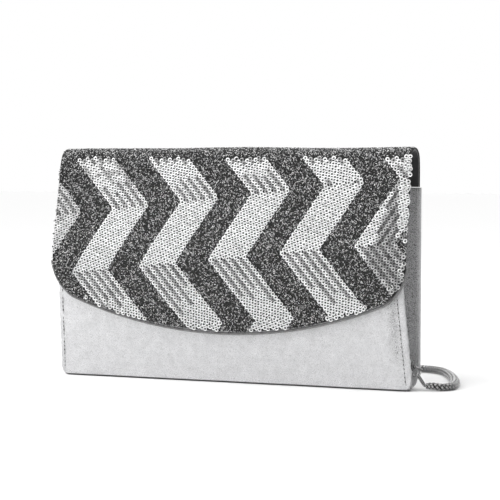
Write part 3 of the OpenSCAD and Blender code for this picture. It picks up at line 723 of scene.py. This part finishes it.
def flap_place(x, s, depth=0.0):
    """Points on the flap's outer face, moved inward by depth: x across, s up from the lowest
    level along the side profile. Returns the points, and the ways up and out at each."""
    at = [np.interp(s, flap_far, column) for column in (*flap_curve.T, *slope.T)]
    y, z, run_y, run_z = (np.broadcast_to(a, np.shape(x)) for a in at)
    none = np.zeros(np.shape(x))
    up = np.stack([none, run_y, run_z], -1)
    out = np.stack([none, -run_z, run_y], -1)
    face = np.stack([np.asarray(x) + none, y, z], -1)
    return face - np.expand_dims(depth + none, -1) * out, up, out


def s_of(z):
    """How far up the profile a height on the flap's front is."""
    return np.interp(z, flap_curve[:fold_at + 40, 1], flap_far[:fold_at + 40])


corner_z = EDGE_LOW + EDGE_R - np.sqrt(EDGE_R ** 2 - CORNER_X ** 2)
share = np.linspace(0, 1, 24)
start, pull, end = (1 - share) ** 2, 2 * share * (1 - share), share ** 2
arc_x = np.linspace(0, CORNER_X, 30)[:-1]
edge_x = np.concatenate([arc_x, start * CORNER_X + pull * (FLAP_HALF - 3.5) + end * FLAP_HALF])
edge_z = np.concatenate([EDGE_LOW + EDGE_R - np.sqrt(EDGE_R ** 2 - arc_x ** 2),
                         start * corner_z + pull * (corner_z + 5)
                         + end * (corner_z + CORNER_RISE)])


def flap_low(x):
    """Height of the flap's lower edge: an arc, then a quadratic curve round each corner."""
    return np.interp(np.abs(x), edge_x, edge_z)


def top_roll(x, s):
    """The soft top is not quite level: slow waves that die out towards the fold and the seam."""
    soft = np.clip((s - FOLD_S) / 10, 0, 1) * np.clip((flap_far[-1] - s) / 12, 0, 1)
    return soft * waves(x, s * 0.3, 0.5, 130, 8)


def flap_grid(depth, trim):
    """Columns from the lower edge to the fold; each is as wide as the flap is at its heights."""
    u = columns(FLAP_HALF - trim, 2.2)[None, :]
    v = np.linspace(0, 1, 60)[:, None]
    low = flap_low(u * (FLAP_HALF - trim)) + trim
    z = low + v * (FOLD_Z - 0.3 - low)
    x = u * (FLAP_HALF - trim) + 0 * z
    return flap_place(x, s_of(z), depth)[0]


ground = grained("pewter_ground", pebble, 1900, (0.012, 0.012, 0.012), (0.04, 0.04, 0.04), 0.7,
                 0.1, 0.8, 0.2, pit=0.5)
CLOTH_T = 1.3
flap_cloth = shell("flap_cloth", flap_grid(CLOTH_DEPTH, 0.3), CLOTH_T)
flap_cloth.data.materials.append(ground)
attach(flap_cloth, "flap")
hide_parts("flap_ground")
piping = grained("corded_piping", pebble, 2500, (0.2, 0.2, 0.2), (0.42, 0.42, 0.42), 0.5, 0.4,
                 0.9, 0.15, pit=0.4)
dress(["flap_edge_piping"], piping)

# ---- Soft top ----
# The unboarded stretch of the flap's cloth, from the fold over the crown to the back seam. It
# is lined.
CROWN_S = float(np.interp(3.5, flap_curve[fold_at:fold_at + 60, 0], flap_far[fold_at:fold_at + 60]))


def top_grid(s_from, s_to, rows):
    s = np.linspace(s_from, s_to, rows)[:, None]
    u = columns(FLAP_HALF - 0.4, 2.4)[None, :]
    x = u * (FLAP_HALF - 0.4) + 0 * s
    return flap_place(x, s, CLOTH_DEPTH - top_roll(x, s))[0]


SOFT_T = 0.7
top_front = shell("soft_top_front", top_grid(FOLD_S - 0.2, CROWN_S, 16), SOFT_T, 3)
top_back = shell("soft_top_back", top_grid(CROWN_S, flap_far[-1], 24), SOFT_T, 3)
for piece in (top_front, top_back):
    piece.data.materials.append(ground)
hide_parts("spine_ground")
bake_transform(top_front)
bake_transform(top_back)

# ---- Zigzag bands ----
# Silver bands climb across the flap in legs that lean left and right by turns. Nine rows of
# 3 mm cupped sequins fill each, sewn through the hole; their colour is painted reflection, and the
# right-leaning legs alternate a row painted as catching the light with one painted as turned from
# it. Between the bands lie short curls of glossy pewter bead.
BAND_PITCH, SILVER_W = 48.6, 26
CLIMB = 0.105
ROWS = 9
SEQUIN_PITCH = 2.75
zig_x, zig_w = np.array([[-4.8, 201.1], [-37.9, 161.4], [-4.8, 121.7], [-31.6, 82],
                         [-0.2, 40.6], [-30, 1]]).T
SILVER_TOP = 147.5


def in_silver(x, z):
    """Whether a point seen from the front is in a silver band: its row's shift from the zigzag,
    less the nearest band's, is between minus the band's width and none."""
    shift = x - np.interp(-(z - CLIMB * x), -zig_w, zig_x)
    return (shift + SILVER_W) % BAND_PITCH < SILVER_W


def on_flap(x, z, inset):
    """Whether a point seen from the front is on the flap, that far in from its lower edge."""
    return (z > flap_low(x) + inset) & (np.abs(x) < FLAP_HALF - inset / 3)


lucky = np.random.default_rng(11)


def tilted(up, out, spin, tilt):
    """Axes for flat pieces, spun in their plane and tipped by small random angles."""
    n = len(up)
    side = np.cross(up, out)
    turn = spin[:, None]
    first = np.cos(turn) * side + np.sin(turn) * up
    normal = out + lucky.normal(0, tilt, (n, 1)) * side + lucky.normal(0, tilt, (n, 1)) * up
    normal /= np.linalg.norm(normal, axis=1, keepdims=True)
    second = np.cross(normal, first)
    second /= np.linalg.norm(second, axis=1, keepdims=True)
    return np.stack([np.cross(second, normal), second, normal], axis=1)


# A cup's section from its hole out to its rim and back underneath, as radius and rise
CUP = np.array([[0.58, -0.02], [1.02, 0.06], [1.46, 0.34], [1.1, -0.08]])
SIDES_OF_CUP = 8
# The disc in each sequin's hole, its radius, rise and tone; the tone paints it near black, as
# shade.
HOLE_R, HOLE_RISE, HOLE_TONE = 0.61, 0.03, -0.3
CUP_POINTS = SIDES_OF_CUP * len(CUP)
cup_turn = np.arange(SIDES_OF_CUP) * 2 * np.pi / SIDES_OF_CUP
cup_points = np.array([[r * np.cos(a), r * np.sin(a), h] for a in cup_turn for r, h in CUP]
                      + [[HOLE_R * np.cos(a), HOLE_R * np.sin(a), HOLE_RISE] for a in cup_turn])
ring_id, lip = np.meshgrid(np.arange(SIDES_OF_CUP), np.arange(4), indexing="ij")
cup_faces = np.stack([ring_id * 4 + lip, (ring_id + 1) % SIDES_OF_CUP * 4 + lip,
                      (ring_id + 1) % SIDES_OF_CUP * 4 + (lip + 1) % 4,
                      ring_id * 4 + (lip + 1) % 4], -1).reshape(-1, 4)[:, ::-1]
hole_faces = CUP_POINTS + np.array([[0, 1, 2, 3], [0, 3, 4, 7], [4, 5, 6, 7]])
cup_faces = np.vstack([cup_faces, hole_faces])
in_hole = np.arange(len(cup_points)) >= CUP_POINTS

# The sequins' colour is painted reflection: a tone from near black to near white for how much light
# each is painted as catching, with fine random flecks.
sequin_mat, sequin_tree, sequin_shader = finish_of("silver_sequins", (0.9, 0.9, 0.9), 0.3, 0.45)
sequin_tone, sequin_ramp, fleck, flecked = nodes_of(sequin_tree, "Attribute", "ValToRGB",
                                                    "TexNoise", "Math")
sequin_tone.attribute_name = "tone"
sequin_ramp.color_ramp.elements[0].color = (0.03, 0.03, 0.03, 1)
sequin_ramp.color_ramp.elements[1].color = (0.93, 0.93, 0.93, 1)
fleck.inputs["Scale"].default_value = 2500
flecked.operation = "MULTIPLY_ADD"
flecked.inputs[1].default_value = 0.16
sequin_tree.links.new(fleck.outputs["Fac"], flecked.inputs[0])
sequin_tree.links.new(sequin_tone.outputs["Fac"], flecked.inputs[2])
sequin_tree.links.new(flecked.outputs[0], sequin_ramp.inputs["Fac"])
sequin_tree.links.new(sequin_ramp.outputs["Color"], sequin_shader.inputs["Base Color"])


# Tones of a sequin painted as catching the light and as turned from it
LIT_TONE, UNLIT_TONE = 0.93, 0.3


def sequin_rows(band):
    """Places and tone of a band's sequins: nine copies of the zigzag side by side, each walked
    in steps of the pitch and dropped where it leaves the flap. The tone is painted reflection: odd
    rows of the right-leaning legs are painted as turned from the light, down to a ragged line; rows
    are painted darker towards the flap's sides and in a patch on the left."""
    found = []
    for row in range(ROWS):
        shift = (band - 3) * BAND_PITCH - (row + 0.5) * SILVER_W / ROWS
        x = zig_x + shift
        line = np.stack([x, zig_w + CLIMB * x], 1)
        far = np.concatenate([[0], np.cumsum(np.linalg.norm(np.diff(line, axis=0), axis=1))])
        at = np.arange((row % 2) * SEQUIN_PITCH / 2, far[-1], SEQUIN_PITCH)
        leg = np.searchsorted(far, at, side="right") - 1
        px, pz = (np.interp(at, far, line[:, i]) for i in (0, 1))
        ragged = lucky.normal(0, 4, 2)
        upper = (leg == 1) & ((pz < 134 + ragged[0]) | (pz > 143))
        lower = (leg == 3) & (pz > 55 + 0.03 * px + 1.3 * ragged[1])
        tone = np.where((upper | lower) & (row % 2 == 1), UNLIT_TONE, LIT_TONE)
        side = (px > 100 + 0.3 * (pz - 90)) & (leg == 2) & (px < 115)
        tone = np.where(side, np.where(row % 2 == 1, 0.12, 0.45), tone)
        tone = np.where((leg == 3) & (px > 96), tone * 0.5, tone)
        tone = np.where(px < -100, tone * 0.72, tone)
        patch = (px < -66) & (leg == 1) & (np.abs(pz - 136) < 5 + ragged[0])
        found.append(np.stack([px, pz, np.where(patch, tone * 0.55, tone)], 1))
    found = np.vstack(found)
    found[:, :2] += lucky.normal(0, 0.07, (len(found), 2))
    found[:, 2] += lucky.normal(0, 0.07, len(found))
    keep = on_flap(found[:, 0], found[:, 1], 0.8) & (found[:, 1] < SILVER_TOP - 1)
    return found[keep]


def sew_sequins(name, found, body, stands_for, tilt=0.09):
    """One mesh of the sequins found, lying on the flap's face and tipped at random by tilt."""
    s = s_of(found[:, 1])
    centres, up, out = flap_place(found[:, 0], s, 0.3 + lucky.uniform(-0.12, 0.12, len(found)))
    axes = tilted(up, out, lucky.uniform(0, 6.28, len(found)), tilt)
    piece = scatter(name, cup_points, cup_faces, centres, axes, lucky.normal(1, 0.03, len(found)))
    tone = np.where(in_hole[None], HOLE_TONE, found[:, 2:3])
    mark(piece, "tone", tone)
    piece.data.materials.append(sequin_mat)
    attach(piece, body)
    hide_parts(*stands_for)


SPLIT_Z = FOLD_Z + 0.8
EDGE_COLUMNS = [(117.9, 97, 19), (120.4, 92, 20)]
strays = np.array([[119.4, 78.5], [120.2, 81], [117.6, 76.6], [118.9, 74.2], [112.5, 66.4],
                   [110.6, 65.2], [-96.5, 54.2], [-82, 49.4], [-70.6, 45.9], [-58.8, 43.1],
                   [86.4, 50.3], [95.2, 53.5]])
# Their tones, like every sequin's, are painted reflection.
edge = [np.stack([np.full(n, x), np.linspace(z, 147, n), lucky.uniform(0.55, 0.95, n)], 1)
        for x, z, n in EDGE_COLUMNS]
edge = np.vstack(edge + [np.column_stack([strays, np.full(len(strays), 0.95)])])
edge = edge[lucky.random(len(edge)) > 0.12]
above_fold = [edge[edge[:, 1] > SPLIT_Z]]
sew_sequins("sequins_right_edge", edge[edge[:, 1] <= SPLIT_Z], "flap", ["flap_sequin_band_6"],
            tilt=0.28)
for band in range(1, 7):
    found = sequin_rows(band)
    high = found[:, 1] > SPLIT_Z
    above_fold.append(found[high])
    sew_sequins(f"sequins_band_{band}", found[~high], "flap", [f"flap_sequin_band_{band}"])
sew_sequins("sequins_soft_top", np.vstack(above_fold), "flap_spine", ["spine_sequin_bands"])

bead_shape = prism([[-0.54, 0.14, -0.1], [-0.22, 0.24, 0.14], [0.22, 0.24, 0.14],
                    [0.54, 0.14, -0.1]], 4)
# Each bead's tone is random; the ramp takes it from near black to white, and the white end paints
# glints on the palest beads.
bead_mat, bead_tree, bead_shader = finish_of("pewter_beads", (0.3, 0.3, 0.3), 0.3, 0.3)
bead_tone, bead_ramp = nodes_of(bead_tree, "Attribute", "ValToRGB")
bead_tone.attribute_name = "tone"
bead_ramp.color_ramp.elements[0].color = (0.015, 0.015, 0.015, 1)
bead_ramp.color_ramp.elements[1].color = (1.0, 1.0, 1.0, 1)
bead_ramp.color_ramp.elements.new(0.5).color = (0.02, 0.02, 0.02, 1)
bead_ramp.color_ramp.elements.new(0.74).color = (0.4, 0.4, 0.4, 1)
bead_tree.links.new(bead_tone.outputs["Fac"], bead_ramp.inputs["Fac"])
bead_tree.links.new(bead_ramp.outputs["Color"], bead_shader.inputs["Base Color"])


def field(width, s_from, s_to, gap):
    """Places on a staggered grid, each moved a little at random: x across, s up the profile."""
    rows = np.arange(s_from, s_to, gap * 0.87)
    x = np.arange(-width, width, gap)
    xs = x[None, :] + (np.arange(len(rows)) % 2)[:, None] * gap / 2
    ss = rows[:, None] + 0 * x[None, :]
    return np.stack([(xs + lucky.normal(0, gap * 0.22, xs.shape)).ravel(),
                     (ss + lucky.normal(0, gap * 0.22, ss.shape)).ravel()], 1)


BEAD_GAP, TOP_BEAD_GAP = 0.86, 1.0


def sew_beads(name, places, body, stands_for, across=None):
    """One mesh of beads at the places, spun at random, attached to a body; when across is given it
    is left unattached, and only whether across is given is read.
    """
    centres, up, out = flap_place(places[:, 0], places[:, 1],
                                  0.42 + lucky.uniform(-0.1, 0.12, len(places))
                                  - top_roll(places[:, 0], places[:, 1]))
    axes = tilted(up, out, lucky.uniform(0, 6.28, len(places)), 0.12)
    piece = scatter(name, *bead_shape, centres, axes, lucky.uniform(0.75, 1.1, len(places)))
    tone = lucky.uniform(0.2 if across else 0, 1, len(places))
    mark(piece, "tone", np.repeat(tone, len(bead_shape[0])))
    piece.data.materials.append(bead_mat)
    if across:
        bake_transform(piece)
    else:
        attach(piece, body)
    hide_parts(*stands_for)


flap_field = field(FLAP_HALF, 0, FOLD_S - 0.5, BEAD_GAP)
field_z = np.interp(flap_field[:, 1], flap_far, flap_curve[:, 1])
keep = on_flap(flap_field[:, 0], field_z, 0.1) & ~in_silver(flap_field[:, 0], field_z)
flap_field = flap_field[keep]
for name, part in (("left", flap_field[:, 0] < 0), ("right", flap_field[:, 0] >= 0)):
    sew_beads("beads_flap_" + name, flap_field[part], "flap", ["flap_bead_bands"])

top_field = field(FLAP_HALF - 1, FOLD_S - 0.4, flap_far[-1] - 1, TOP_BEAD_GAP)
top_z = np.interp(top_field[:, 1], flap_far, flap_curve[:, 1])
silver = in_silver(top_field[:, 0], top_z) & (top_field[:, 1] < CROWN_S) & (top_z < SILVER_TOP)
top_field = top_field[~silver]
forward = top_field[:, 1] < CROWN_S
sew_beads("beads_soft_top_front", top_field[forward], None, ["spine_bead_bands"],
          ("flap_spine", "flap", (0, -0.0055, 0.1445), (0, -0.007, 0.1395)))
sew_beads("beads_soft_top_back", top_field[~forward], None, ["spine_bead_bands"],
          ("pouch", "flap_spine", (0, 0.0187, 0.128), (0, 0.0187, 0.134)))
